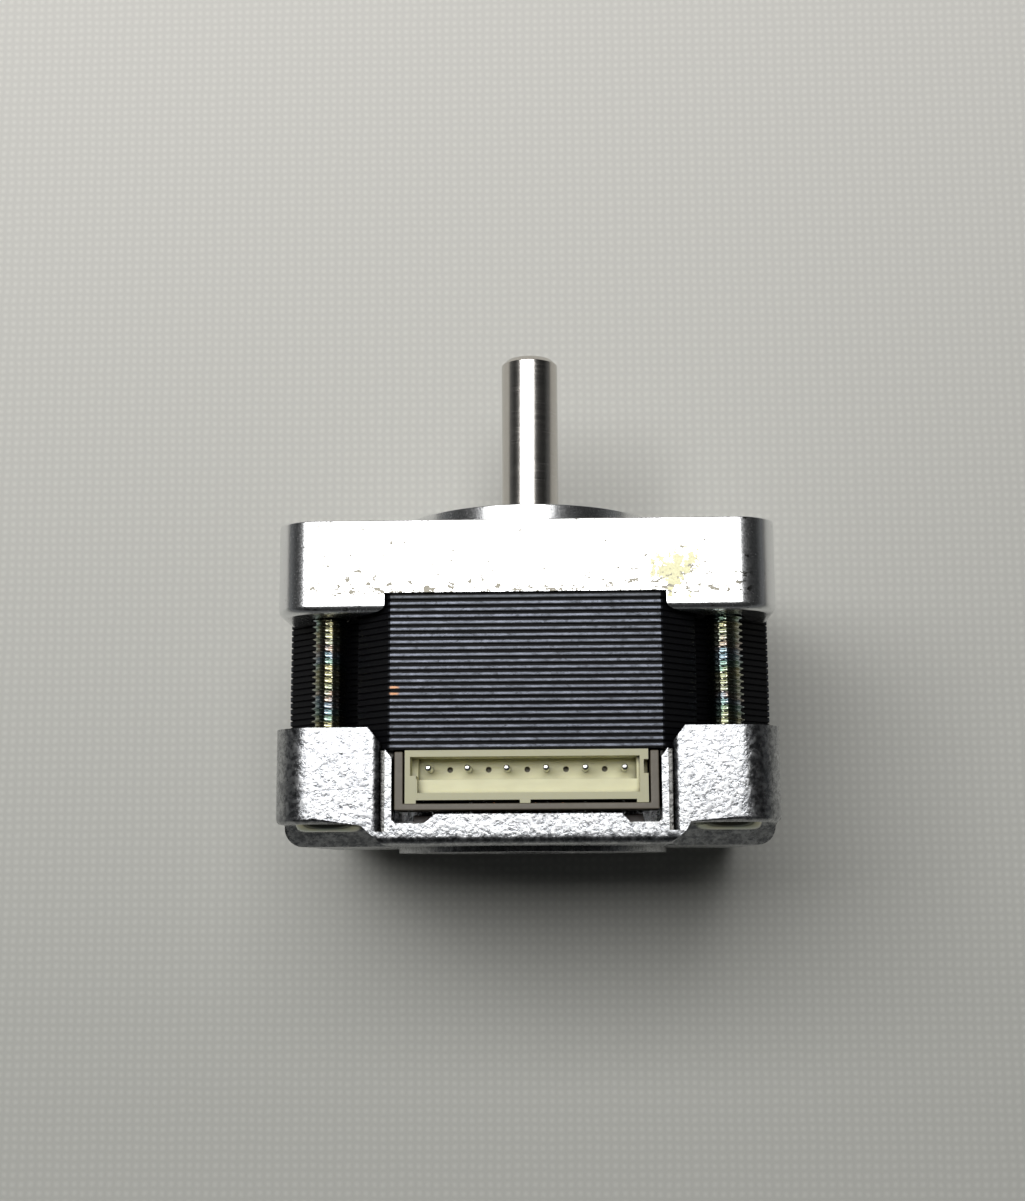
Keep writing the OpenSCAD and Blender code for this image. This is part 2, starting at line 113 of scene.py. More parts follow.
def finish_mesh(bm, name, replaced, material, smooth=35):
    """Turns a bmesh in millimetres into a piece that rides on the case and stands for a CAD node."""
    bmesh.ops.recalc_face_normals(bm, faces=bm.faces)
    bmesh.ops.scale(bm, vec=(MM, MM, MM), verts=bm.verts)
    mesh = bpy.data.meshes.new(name)
    bm.to_mesh(mesh)
    bm.free()
    mesh.shade_smooth()
    mesh.set_sharp_from_angle(angle=math.radians(smooth))
    piece = bpy.data.objects.new(name, mesh)
    bpy.context.scene.collection.objects.link(piece)
    mesh.materials.append(material)
    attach(piece, CASE)
    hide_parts(replaced)
    return piece


def node_bmesh(name):
    """A CAD node's shape in millimetres, with its flat faces joined up again."""
    bm = bmesh.new()
    bm.from_mesh(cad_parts[name].data)
    bmesh.ops.scale(bm, vec=(1 / MM, 1 / MM, 1 / MM), verts=bm.verts)
    bmesh.ops.remove_doubles(bm, verts=bm.verts, dist=SAME_PLACE)
    bmesh.ops.dissolve_limit(
        bm, angle_limit=FLAT_A, verts=bm.verts, edges=bm.edges, use_dissolve_boundaries=False,
    )
    return bm


def sharp_edges(bm, test):
    """The sharp edges for which test(middle of the edge, edge) is true."""
    found = []
    for edge in bm.edges:
        if len(edge.link_faces) == 2 and edge.calc_face_angle(0) > SHARP_A:
            if test((edge.verts[0].co + edge.verts[1].co) / 2, edge):
                found.append(edge)
    return found


def round_edges(bm, edges, radius, segments):
    bmesh.ops.bevel(
        bm, geom=edges, offset=radius, offset_type="OFFSET", segments=segments,
        profile=0.5, affect="EDGES", clamp_overlap=False,
    )
    bmesh.ops.remove_doubles(bm, verts=bm.verts, dist=SAME_PLACE)


def soften(piece, width=0.0, segments=2):
    """Evens a piece's shading and, with a width, rounds its sharp edges, as modifiers."""
    weld = piece.modifiers.new("weld", "WELD")
    weld.merge_threshold = WELD_M
    if width:
        bevel = piece.modifiers.new("edges", "BEVEL")
        bevel.limit_method = "ANGLE"
        bevel.angle_limit = BEVEL_A
        bevel.width = width * MM
        bevel.segments = segments
    even = piece.modifiers.new("shading", "WEIGHTED_NORMAL")
    even.keep_sharp = False


def ring(bm, points):
    return [bm.verts.new(p) for p in points]


def bridge(bm, a, b):
    """Joins two rings with as many vertices by a band of faces."""
    for i in range(len(a)):
        j = (i + 1) % len(a)
        bm.faces.new((a[i], a[j], b[j], b[i]))


def bridge_all(bm, rings):
    for a, b in zip(rings, rings[1:]):
        bridge(bm, a, b)


def cap(bm, outer, holes=()):
    """Fills a flat outline with triangles, leaving the holes open."""
    loops = [outer, *holes]
    verts = [v for loop in loops for v in loop]
    for tri in tessellate_polygon([[v.co for v in loop] for loop in loops]):
        bm.faces.new([verts[i] for i in tri])


def lathe_ring(bm, x, z, y, radius, steps, turn):
    """A ring of vertices around an axis parallel to the shaft, at (x, z)."""
    angles = [2 * math.pi * i / steps + turn for i in range(steps)]
    return ring(bm, [(x + radius * math.cos(a), y, z + radius * math.sin(a)) for a in angles])


def four_corners(corner):
    """The points of one corner of an outline, followed by the other three, a quarter turn apart."""
    points = []
    for quarter in range(4):
        turn = Matrix.Rotation(quarter * QUARTER, 2)
        points += [turn @ Vector(c) for c in corner]
    return points


def shade_node(name, material, width=0.0):
    """Gives a CAD node its material, smooth shading and, with a width, rounded edges."""
    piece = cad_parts[name]
    piece.data.materials.clear()
    piece.data.materials.append(material)
    piece.data.shade_smooth()
    soften(piece, width)


# ---------------------------------------------------------------- materials

class Paint:
    """A material under construction. Texture coordinates are millimetres in the row frame."""

    def __init__(self, name):
        self.material = bpy.data.materials.new(name)
        self.material.use_nodes = True
        self.tree = self.material.node_tree
        self.shader = self.tree.nodes["Principled BSDF"]
        where = self.add("ShaderNodeTexCoord").outputs["Object"]
        scaled = self.add("ShaderNodeVectorMath", {"operation": "SCALE"}, Vector=where, Scale=1 / MM)
        self.mm = scaled.outputs[0]

    def add(self, kind, settings=None, **inputs):
        """Adds a node. An input is named with _ for each space, or by _ and its number."""
        node = self.tree.nodes.new(kind)
        for key, value in (settings or {}).items():
            setattr(node, key, value)
        for key, value in inputs.items():
            name = key.replace("_", " ").strip()
            socket = node.inputs[int(name)] if name.isdigit() else node.inputs[name]
            self.plug(value, socket)
        return node

    def plug(self, value, socket):
        if isinstance(value, bpy.types.NodeSocket):
            self.tree.links.new(value, socket)
        else:
            socket.default_value = value

    def set(self, **inputs):
        """Sets inputs of the shader."""
        for key, value in inputs.items():
            self.plug(value, self.shader.inputs[key.replace("_", " ")])

    def math(self, operation, a, b=0.0):
        return self.add("ShaderNodeMath", {"operation": operation}, _0=a, _1=b).outputs[0]

    def plus(self, a, b):
        return self.math("ADD", a, b)

    def minus(self, a, b):
        return self.math("SUBTRACT", a, b)

    def times(self, a, b):
        return self.math("MULTIPLY", a, b)

    def size(self, value):
        return self.math("ABSOLUTE", value)

    def stretched(self, x=1.0, y=1.0, z=1.0):
        node = self.add("ShaderNodeVectorMath", {"operation": "MULTIPLY"}, _0=self.mm, _1=(x, y, z))
        return node.outputs[0]

    def noise(self, scale, detail=3.0, rough=0.55, vector=None):
        node = self.add(
            "ShaderNodeTexNoise", Vector=vector or self.mm, Scale=scale, Detail=detail, Roughness=rough,
        )
        return node.outputs["Fac"]

    def remap(self, value, low, high, to_low=0.0, to_high=1.0):
        node = self.add(
            "ShaderNodeMapRange", {"clamp": True}, Value=value, From_Min=low, From_Max=high,
            To_Min=to_low, To_Max=to_high,
        )
        return node.outputs[0]

    def mix(self, share, a, b):
        """The colour a where the share is 0 and b where it is 1."""
        node = self.tree.nodes.new("ShaderNodeMix")
        node.data_type = "RGBA"
        share_in, a_in, b_in = node.inputs[0], node.inputs[6], node.inputs[7]
        for value, socket in ((share, share_in), (a, a_in), (b, b_in)):
            self.plug(value, socket)
        return node.outputs[2]

    def axis(self, name):
        return self.add("ShaderNodeSeparateXYZ", Vector=self.mm).outputs[name]

    def bump(self, height, depth_mm, strength):
        node = self.add("ShaderNodeBump", Height=height, Strength=strength, Distance=depth_mm * MM)
        self.set(Normal=node.outputs[0])

    def spot(self, x, y, z, radius, soft):
        """1 within a radius of a point, fading to 0."""
        node = self.add("ShaderNodeVectorMath", {"operation": "DISTANCE"}, _0=self.mm, _1=(x, y, z))
        return self.remap(node.outputs["Value"], radius, radius + soft, 1.0, 0.0)

    def near_face(self, depth):
        """1 on the side with the plug, 0 further in than the depth."""
        return self.remap(self.axis("Z"), HALF - depth, HALF - 0.1)

    def outside_painted_shade(self, distance_mm, low, high):
        """Ambient occlusion as a mask for painted shade: 0 in corners and gaps, where shade is painted, 1
        on open faces.
        """
        node = self.add("ShaderNodeAmbientOcclusion", {"samples": 6}, Distance=distance_mm * MM)
        return self.remap(node.outputs["AO"], low, high)


def rgb(r, g, b):
    return (r, g, b, 1.0)


def darker(colour, share):
    return rgb(*[c * share for c in colour])


def cast_aluminium():
    """The flange: bright, lightly tumbled casting with marks, scratches near the stack, a stain and
    painted shade in its corners.
    """
    p = Paint("cast_aluminium")
    dull, bright = rgb(0.80, 0.81, 0.82), rgb(0.90, 0.90, 0.90)
    mark, scratch = rgb(0.04, 0.04, 0.035), rgb(0.07, 0.066, 0.055)
    yellow, dirt_and_painted_shade = rgb(0.15, 0.145, 0.095), rgb(0.10, 0.095, 0.085)
    grain = p.noise(7.0, 4.0, 0.6)
    base = p.mix(p.noise(0.35, 3.0), dull, bright)
    marked = p.remap(p.noise(2.6, 3.0, 0.7), 0.69, 0.73)
    base = p.mix(marked, base, mark)
    blotch = p.times(p.noise(1.0, 4.0, 0.7), 2.6)
    around_stain = p.spot(11.8, -4.2, HALF, radius=0.0, soft=3.6)
    base = p.mix(p.remap(p.plus(around_stain, blotch), 1.85, 2.0), base, yellow)
    below = p.remap(p.axis("Y"), STACK_FRONT - 0.2, STACK_FRONT, 0.0, 0.1)
    above = p.remap(p.axis("Y"), STACK_FRONT, STACK_FRONT + 2.2, 0.1, 0.0)
    wear = p.noise(1.9, 4.0, 0.75, p.stretched(x=0.6))
    wear = p.plus(wear, p.math("MINIMUM", below, above))
    scratched = p.times(p.remap(wear, 0.6, 0.63), p.near_face(0.3))
    base = p.mix(scratched, base, scratch)
    # Painted shade, with some dirt: corners and gaps are darkened by ambient occlusion.
    base = p.mix(p.outside_painted_shade(0.9, 0.3, 0.9), dirt_and_painted_shade, base)
    p.set(Base_Color=base, Metallic=1.0, Roughness=p.remap(grain, 0.3, 0.7, 0.17, 0.28))
    height = p.plus(p.times(grain, 0.5), p.noise(1.1, 2.0))
    p.bump(height, depth_mm=0.016, strength=0.4)
    return p.material


def rough_cast_aluminium():
    """The rear cover: a grainy casting, mottled by small shallow dimples, with painted shade in its
    corners.
    """
    p = Paint("cast_aluminium_rough")
    dark, light = rgb(0.19, 0.195, 0.205), rgb(0.50, 0.505, 0.51)
    tarnish, speck, dirt_and_painted_shade = rgb(0.16, 0.165, 0.175), rgb(0.05, 0.05, 0.05), rgb(0.07, 0.068, 0.062)
    dimple = p.noise(2.1, 3.0, 0.6)
    grain = p.noise(5.0, 3.0, 0.65)
    mottle = p.remap(p.noise(2.1, 4.0, 0.72), 0.36, 0.62)
    base = p.mix(mottle, dark, light)
    tarnished = p.remap(p.noise(0.7, 4.0, 0.7), 0.5, 0.66)
    base = p.mix(p.times(tarnished, 0.5), base, tarnish)
    specked = p.remap(p.noise(3.4, 2.0, 0.7), 0.66, 0.72)
    base = p.mix(p.times(specked, 0.7), base, speck)
    # Painted shade, with some dirt: corners and gaps are darkened by ambient occlusion.
    base = p.mix(p.outside_painted_shade(0.8, 0.3, 0.9), dirt_and_painted_shade, base)
    p.set(Base_Color=base, Metallic=1.0, Roughness=p.remap(dimple, 0.3, 0.7, 0.2, 0.34))
    height = p.plus(dimple, p.times(grain, 0.35))
    p.bump(height, depth_mm=0.052, strength=0.75)
    return p.material


def lamination_steel():
    """Sheet edges worn through to blue-grey steel; everywhere else near-black, partly varnish and partly
    painted shade in the gaps between sheets and on the cut corners and grooves.
    """
    p = Paint("electrical_steel")
    # Near-black, for varnish and for painted shade.
    varnish_and_painted_shade = rgb(0.004, 0.004, 0.005)
    dark, light = rgb(0.034, 0.038, 0.044), rgb(0.128, 0.137, 0.164)
    fleck, last, copper = rgb(0.035, 0.037, 0.042), rgb(0.03, 0.031, 0.03), rgb(0.28, 0.15, 0.085)
    streak = p.noise(1.1, 4.0, 0.65, p.stretched(y=3.0))
    ragged = p.times(p.minus(p.noise(3.2, 3.0, 0.7), 0.5), 0.16)
    flecked = p.remap(p.noise(2.2, 3.0, 0.7), 0.55, 0.68)
    phase = p.math("FRACT", p.math("DIVIDE", p.minus(p.axis("Y"), STACK_REAR), SHEET))
    to_gap = p.minus(0.5, p.size(p.minus(phase, 0.5)))
    # Varnish with painted shade: only the middle of each sheet's edge on the flat sides shows metal, while
    # the gaps between sheets, each sheet's flanks, the cut corners and the grooves stay near-black.
    edge = p.remap(p.plus(to_gap, ragged), 0.28, 0.38)
    reach = p.math("MAXIMUM", p.size(p.axis("X")), p.size(p.axis("Z")))
    bare_and_unshaded = p.times(edge, p.remap(reach, HALF - 0.2, HALF - 0.1))
    metal = p.mix(p.remap(streak, 0.25, 0.75), dark, light)
    metal = p.mix(p.times(flecked, 0.75), metal, fleck)
    on_last = p.remap(p.axis("Y"), STACK_FRONT - 1.1 * SHEET, STACK_FRONT - 0.9 * SHEET)
    metal = p.mix(p.times(on_last, 0.6), metal, last)
    nick = p.spot(-10.1, -13.3, HALF, radius=0.3, soft=0.25)
    metal = p.mix(nick, metal, copper)
    p.set(Base_Color=p.mix(bare_and_unshaded, varnish_and_painted_shade, metal), Metallic=p.times(bare_and_unshaded, 0.9),
          Roughness=p.remap(bare_and_unshaded, 0.0, 1.0, 0.42, 0.38), Specular_IOR_Level=0.1)
    p.bump(p.plus(streak, flecked), depth_mm=0.012, strength=0.4)
    return p.material


ZINC_TINTS = (                       # along one drift of the film's colour, from 0 to 1
    (0.0, rgb(0.33, 0.36, 0.30)),
    (0.3, rgb(0.40, 0.38, 0.27)),
    (0.5, rgb(0.27, 0.35, 0.30)),
    (0.7, rgb(0.30, 0.35, 0.39)),
    (0.85, rgb(0.38, 0.32, 0.28)),
    (1.0, rgb(0.33, 0.36, 0.30)),
)


def zinc_steel():
    """Passivated zinc with faint yellow, green and violet tints."""
    p = Paint("zinc_steel")
    drift = p.plus(p.noise(0.55, 2.0), p.times(p.axis("Y"), 0.27))
    ramp = p.add("ShaderNodeValToRGB", Fac=p.math("FRACT", drift))
    stops = ramp.color_ramp.elements
    while len(stops) < len(ZINC_TINTS):
        stops.new(0.5)
    for stop, (at, colour) in zip(stops, ZINC_TINTS):
        stop.position = at
        stop.color = colour
    fine = p.noise(6.0, 3.0)
    p.set(Base_Color=ramp.outputs[0], Metallic=1.0, Roughness=p.remap(fine, 0.3, 0.7, 0.1, 0.17))
    p.bump(fine, depth_mm=0.006, strength=0.3)
    return p.material


def ground_steel(name, colour, rough=0.2, depth=0.006):
    """Steel ground around the shaft: fine rings with a few deeper scores."""
    p = Paint(name)
    rings = p.noise(1.0, 3.0, 0.7, p.stretched(0.25, 14.0, 0.25))
    base = p.mix(p.noise(0.6, 3.0), darker(colour, 0.88), rgb(*colour))
    roughness = p.remap(rings, 0.3, 0.7, rough * 0.8, rough * 1.4)
    p.set(Base_Color=base, Metallic=1.0, Roughness=roughness)
    p.bump(rings, depth, strength=0.5)
    return p.material


def plain_metal(name, colour, rough, grain=4.0, depth=0.01):
    """Turned, pressed or sintered metal with an even fine grain."""
    p = Paint(name)
    fine = p.noise(grain, 4.0, 0.6)
    base = p.mix(p.noise(0.8, 2.0), darker(colour, 0.85), rgb(*colour))
    roughness = p.remap(fine, 0.3, 0.7, rough * 0.8, rough * 1.3)
    p.set(Base_Color=base, Metallic=1.0, Roughness=roughness)
    p.bump(fine, depth, strength=0.4)
    return p.material


def moulded(name, colour, shade, rough, light_through=0.0, dirt_and_painted_shade=(0.1, 0.08, 0.05), painted_shade_above=None):
    """Moulded plastic: faint flow marks, a fine skin, and painted shade with some dust in the corners.

    With a height given, the faces above that z are painted darker, as painted shade.
    """
    p = Paint(name)
    flow = p.noise(0.5, 3.0, 0.5, p.stretched(y=3.0))
    skin = p.noise(9.0, 3.0)
    base = p.mix(flow, rgb(*shade), rgb(*colour))
    if painted_shade_above is not None:
        # Painted shade: faces above the given height are darkened.
        base = p.mix(p.remap(p.axis("Z"), painted_shade_above, painted_shade_above + 0.3), base, darker(shade, 0.72))
    # Painted shade, with some dust: corners and gaps are darkened by ambient occlusion.
    base = p.mix(p.outside_painted_shade(0.5, 0.15, 0.7), rgb(*dirt_and_painted_shade), base)
    roughness = p.remap(skin, 0.3, 0.7, rough * 0.85, rough * 1.2)
    p.set(Base_Color=base, Roughness=roughness, Subsurface_Weight=light_through,
          Subsurface_Radius=(1.0, 0.8, 0.4), Subsurface_Scale=0.3 * MM)
    p.bump(skin, depth_mm=0.006, strength=0.4)
    return p.material


def enamelled_copper():
    """Copper wire under clear enamel, darker from turn to turn."""
    p = Paint("enamelled_copper")
    dark, light = rgb(0.38, 0.11, 0.03), rgb(0.80, 0.33, 0.12)
    turn = p.noise(1.2, 3.0, 0.6, p.stretched(y=0.4))
    p.set(Base_Color=p.mix(turn, dark, light), Metallic=0.9, Roughness=0.28, Coat_Weight=0.6,
          Coat_Roughness=0.12)
    p.bump(p.noise(5.0, 2.0), depth_mm=0.008, strength=0.3)
    return p.material


def circuit_board():
    """Brown laminated board."""
    p = Paint("circuit_board")
    dark, light = rgb(0.035, 0.019, 0.011), rgb(0.06, 0.034, 0.02)
    weave = p.noise(3.0, 2.0, 0.5, p.stretched(z=4.0))
    roughness = p.remap(weave, 0.3, 0.7, 0.3, 0.45)
    p.set(Base_Color=p.mix(weave, dark, light), Roughness=roughness, Coat_Weight=0.4)
    p.bump(weave, depth_mm=0.01, strength=0.3)
    return p.material


def pale_cloth():
    """The floor: plain and pale, with a faint weave and painted shade that makes it a little darker behind
    the motor.
    """
    p = Paint("pale_floor")
    waves = []
    for direction in ("X", "Y"):
        wave = p.add(
            "ShaderNodeTexWave", {"bands_direction": direction}, Vector=p.mm, Scale=0.37,
            Distortion=1.6, Detail=3.0,
        )
        waves.append(wave.outputs["Fac"])
    weave = p.times(*waves)
    # Painted shade: the floor's colour darkens towards the rear of the motor and lightens ahead of it.
    painted_light_share = p.remap(p.axis("Y"), -40, 90)
    thread = p.mix(painted_light_share, rgb(0.54, 0.54, 0.50), rgb(0.77, 0.755, 0.705))
    gap = p.mix(painted_light_share, rgb(0.48, 0.48, 0.445), rgb(0.69, 0.675, 0.635))
    p.set(Base_Color=p.mix(weave, gap, thread), Roughness=0.9, Specular_IOR_Level=0.2)
    p.bump(weave, depth_mm=0.05, strength=0.4)
    return p.material


FLANGE = cast_aluminium()
COVER = rough_cast_aluminium()
SHEETS = lamination_steel()
ZINC = zinc_steel()
SHAFT = ground_steel("ground_steel", (0.63, 0.60, 0.56))
RACE = ground_steel("bearing_steel", (0.72, 0.72, 0.73), rough=0.14, depth=0.003)
ROTOR_STEEL = ground_steel("rotor_steel", (0.45, 0.46, 0.48), rough=0.32, depth=0.02)
MAGNET = plain_metal("magnet", (0.17, 0.17, 0.18), rough=0.5, grain=5.0, depth=0.03)
SPACER = plain_metal("brass_spacer", (0.72, 0.52, 0.24), rough=0.3)
SPRING = plain_metal("spring_steel", (0.45, 0.46, 0.50), rough=0.28)
CAGE = plain_metal("cage_brass", (0.68, 0.50, 0.22), rough=0.3)
SHIELD = plain_metal("shield_steel", (0.62, 0.63, 0.65), rough=0.3, grain=6.0)
TIN = plain_metal("tinned_brass", (0.86, 0.86, 0.84), rough=0.22, grain=6.0)
# The ivory is painted darker in its corners and on its faces nearest the plug side's outer plane: painted
# shade.
IVORY = moulded("ivory_nylon", (0.72, 0.70, 0.46), (0.58, 0.56, 0.35), rough=0.4, light_through=0.2,
                dirt_and_painted_shade=(0.09, 0.065, 0.02), painted_shade_above=HALF - 0.8)
TRAY = moulded("insulating_sheet", (0.15, 0.13, 0.10), (0.09, 0.08, 0.06), rough=0.5)
BLACK_NYLON = moulded("bobbin_nylon", (0.035, 0.035, 0.035), (0.02, 0.02, 0.02), rough=0.45)
COPPER = enamelled_copper()
BOARD = circuit_board()


# ---------------------------------------------------------------- case

def near(a, b):
    return abs(a - b) < 0.02


def on_side(point):
    """True on the case's outer sides."""
    return max(abs(point.x), abs(point.z)) > HALF - SIDE_DEPTH


def make_flange():
    bm = node_bmesh("front_flange")

    def foot(middle, edge):
        """The feet of the posts, on the outer sides and on the slanted faces beside the stack."""
        if not near(middle.y, POST_LOW):
            return False
        outer = on_side(middle) and all(on_side(v.co) for v in edge.verts)
        return outer or all(near(abs(v.co.x) + abs(v.co.z), POST_CUT) for v in edge.verts)

    round_edges(bm, sharp_edges(bm, foot), radius=0.65, segments=4)
    piece = finish_mesh(bm, "flange_casting", "front_flange", FLANGE)
    soften(piece, width=0.14, segments=3)


def make_cover():
    bm = node_bmesh("rear_cover")

    def flat_on(level, middle, edge):
        return near(middle.y, level) and on_side(middle) and all(near(v.co.y, level) for v in edge.verts)

    def side_heel(middle, edge):
        """The edges of the raised middle of the rear plane, left and right."""
        return flat_on(REAR, middle, edge) and near(abs(middle.x), HALF)

    def other_heel(middle, edge):
        """The same on the plug's side and on the underside."""
        return flat_on(REAR, middle, edge) and near(abs(middle.z), HALF)

    def pad_edge(middle, edge):
        return flat_on(PAD, middle, edge)

    def beside_groove(middle, edge):
        """The upright edges between the face with the plug window and its two grooves."""
        upright = near(edge.verts[0].co.x, edge.verts[1].co.x)
        return upright and near(abs(middle.x), GROOVE_OUT) and near(middle.z, HALF)

    # The face with the window is cut at the lower end of the grooves, so that only their own edges
    # are rounded.
    bm.normal_update()
    front = [f for f in bm.faces if f.normal.z > 0.99 and near(f.calc_center_median().z, HALF)]
    around = {item for f in front for item in (f, *f.edges, *f.verts)}
    bmesh.ops.bisect_plane(bm, geom=list(around), plane_co=(0, GROOVE_LOW, 0), plane_no=(0, 1, 0))
    round_edges(bm, sharp_edges(bm, beside_groove), radius=0.75, segments=4)
    round_edges(bm, sharp_edges(bm, side_heel), radius=1.2, segments=6)
    round_edges(bm, sharp_edges(bm, other_heel), radius=0.6, segments=4)
    round_edges(bm, sharp_edges(bm, pad_edge), radius=0.45, segments=3)
    piece = finish_mesh(bm, "cover_casting", "rear_cover", COVER)
    soften(piece, width=0.13, segments=3)


# ---------------------------------------------------------------- stator stack

SHEET_PROFILE = (                    # along one sheet, as a share of its pitch, and inset
    (0.04, 0.15),
    (0.09, 0.06),
    (0.17, 0.0),
    (0.83, 0.0),
    (0.91, 0.06),
    (0.96, 0.15),
)
END_INSET = 0.17                     # inset of the stack's two end faces
SHEET_SHIFT = 0.02                   # a sheet is out of line with the next by up to this
GROOVE_STEPS = 14


def stack_outline(inset):
    """Points around one sheet: flat sides, cut corners and a round groove in each corner."""
    half = HALF - inset
    cut = STACK_CUT - CUT_INSET * inset
    radius = SCREW_GROOVE_R + inset
    depth = (2 * HOLE_AT - cut) / math.sqrt(2)
    spread = math.acos(depth / radius)
    towards_shaft = math.radians(-135)
    corner = [(half, cut - half)]
    for i in range(GROOVE_STEPS + 1):
        a = towards_shaft + spread * (1 - 2 * i / GROOVE_STEPS)
        corner.append((HOLE_AT + radius * math.cos(a), HOLE_AT + radius * math.sin(a)))
    corner.append((cut - half, half))
    return four_corners(corner)


def stator_bore():
    """Points around the bore: eight poles with six teeth each, and the slots between them."""
    tooth = math.radians(TOOTH_A)
    tooth_profile = [(TOOTH_H, -ROOT_A), (0, -TIP_A), (0, TIP_A), (TOOTH_H, ROOT_A)]
    shoe = POLE_TEETH / 2 * tooth - math.radians(SHOE_INSET_A)
    neck_in = math.asin(NECK_HALF / NECK_R)
    neck_out = math.asin(NECK_HALF / SLOT_R)
    between_poles = 2 * math.pi / POLES
    slot_steps = 3
    points = []
    for pole in range(POLES):
        polar = [(SLOT_R, -neck_out), (NECK_R, -neck_in), (SHOE_R, -shoe), (BORE_R + TOOTH_H, -shoe)]
        for k in range(POLE_TEETH):
            middle = (k - (POLE_TEETH - 1) / 2) * tooth
            # The outer teeth have no root towards the end of the shoe.
            first = 1 if k == 0 else 0
            last = 3 if k == POLE_TEETH - 1 else 4
            polar += [(BORE_R + r, middle + math.radians(d)) for r, d in tooth_profile[first:last]]
        polar += [(BORE_R + TOOTH_H, shoe), (SHOE_R, shoe), (NECK_R, neck_in)]
        slot = between_poles - 2 * neck_out
        polar += [(SLOT_R, neck_out + slot * i / slot_steps) for i in range(slot_steps)]
        a = pole * between_poles
        points += [(r * math.cos(a + d), r * math.sin(a + d)) for r, d in polar]
    return points


def make_stack():
    """Twenty-four crowned sheet edges, each a little out of line with the next."""
    bm = bmesh.new()

    def outline_at(y, points):
        return ring(bm, [(x, y, z) for x, z in points])

    rings = [outline_at(STACK_REAR, stack_outline(END_INSET))]
    for i in range(LAMINATIONS):
        scatter = 0.5 + 0.5 * math.sin(12.9 * i + 1.3)     # uneven, and the same on each run
        for share, inset in SHEET_PROFILE:
            y = STACK_REAR + (i + share) * SHEET
            rings.append(outline_at(y, stack_outline(inset + SHEET_SHIFT * scatter)))
    rings.append(outline_at(STACK_FRONT, stack_outline(END_INSET)))
    bridge_all(bm, rings)
    ends = [outline_at(y, stator_bore()) for y in (STACK_REAR, STACK_FRONT)]
    bridge(bm, *ends)
    cap(bm, rings[0], [ends[0]])
    cap(bm, rings[-1], [ends[1]])
    finish_mesh(bm, "lamination_stack", "stator_stack", SHEETS, smooth=30)


# ---------------------------------------------------------------- case screws

HEAD_PROFILE = (                     # radius, and height above the outer end of the head
    (HEAD_R - 0.75, 0.0),
    (HEAD_R - 0.4, 0.07),
    (HEAD_R - 0.14, 0.22),
    (HEAD_R, 0.5),
    (HEAD_R, HEAD_H - 0.06),
    (HEAD_R - 0.06, HEAD_H),
)
CROSS_TOP = (1.3, 0.3)               # the cross recess: reach and half width of its arms
CROSS_FLOOR = (0.75, 0.22)
CROSS_DEPTH = 0.75
THREAD_BELOW = 1.5                   # the thread starts this far below the stack
SHANK_END = 0.3                      # and the plain shank ends this far below that
TIP_L = 0.5                          # length of the tapered tip
TIP_R = CORE_R - 0.1
CREST, FLANK = 0.12, 0.62            # shares of half a pitch
SCREW_STEPS = 40
STEPS_A_PITCH = 8


def thread_radius(phase):
    """Radius at a phase from 0 to 1 along one pitch, with flat crests and roots."""
    from_crest = abs(phase - 0.5) * 2
    share = min(max((from_crest - CREST) / FLANK, 0.0), 1.0)
    return THREAD_R + (CORE_R - THREAD_R) * share


def cross_points(x, z, y, reach, width):
    """The outline of a cross recess around an axis parallel to the shaft."""
    corner = [(reach, -width), (reach, width), (width, width)]
    return [(x + p.x, y, z + p.y) for p in four_corners(corner)]


def add_screw(bm, x, z, turn):
    recess = ring(bm, cross_points(x, z, HEAD_LOW, *CROSS_TOP))
    floor = ring(bm, cross_points(x, z, HEAD_LOW + CROSS_DEPTH, *CROSS_FLOOR))
    rings = [lathe_ring(bm, x, z, HEAD_LOW + up, r, SCREW_STEPS, turn) for r, up in HEAD_PROFILE]
    cap(bm, rings[0], [recess])
    bridge(bm, recess, floor)
    cap(bm, floor)
    start = STACK_REAR - THREAD_BELOW
    for y in (HEAD_LOW + HEAD_H, start - SHANK_END):
        rings.append(lathe_ring(bm, x, z, y, SHANK_R, SCREW_STEPS, turn))
    count = int((SCREW_TIP - start) / PITCH * STEPS_A_PITCH)
    for k in range(count + 1):
        y = start + (SCREW_TIP - start) * k / count
        full = min(1.0, (SCREW_TIP - y) / TIP_L)
        most = TIP_R + (THREAD_R - TIP_R) * full
        points = []
        for i in range(SCREW_STEPS):
            a = 2 * math.pi * i / SCREW_STEPS + turn
            r = min(thread_radius((y / PITCH - i / SCREW_STEPS) % 1.0), most)
            points.append((x + r * math.cos(a), y, z + r * math.sin(a)))
        rings.append(ring(bm, points))
    bridge_all(bm, rings)
    cap(bm, rings[-1])


def make_screws():
    """Four screws, each turned to its own angle."""
    bm = bmesh.new()
    for i, (side_x, side_z) in enumerate(((-1, -1), (1, -1), (1, 1), (-1, 1))):
        add_screw(bm, side_x * HOLE_AT, side_z * HOLE_AT, turn=0.6 + 1.1 * i)
    finish_mesh(bm, "case_screws", "through_screws", ZINC, smooth=50)


# ---------------------------------------------------------------- plug socket

def make_socket():
    bm = node_bmesh("connector_housing")
    piece = finish_mesh(bm, "socket_housing", "connector_housing", IVORY)
    soften(piece, width=0.06, segments=2)
    bm = node_bmesh("connector_tray")
    piece = finish_mesh(bm, "socket_tray", "connector_tray", TRAY)
    soften(piece, width=0.09, segments=3)


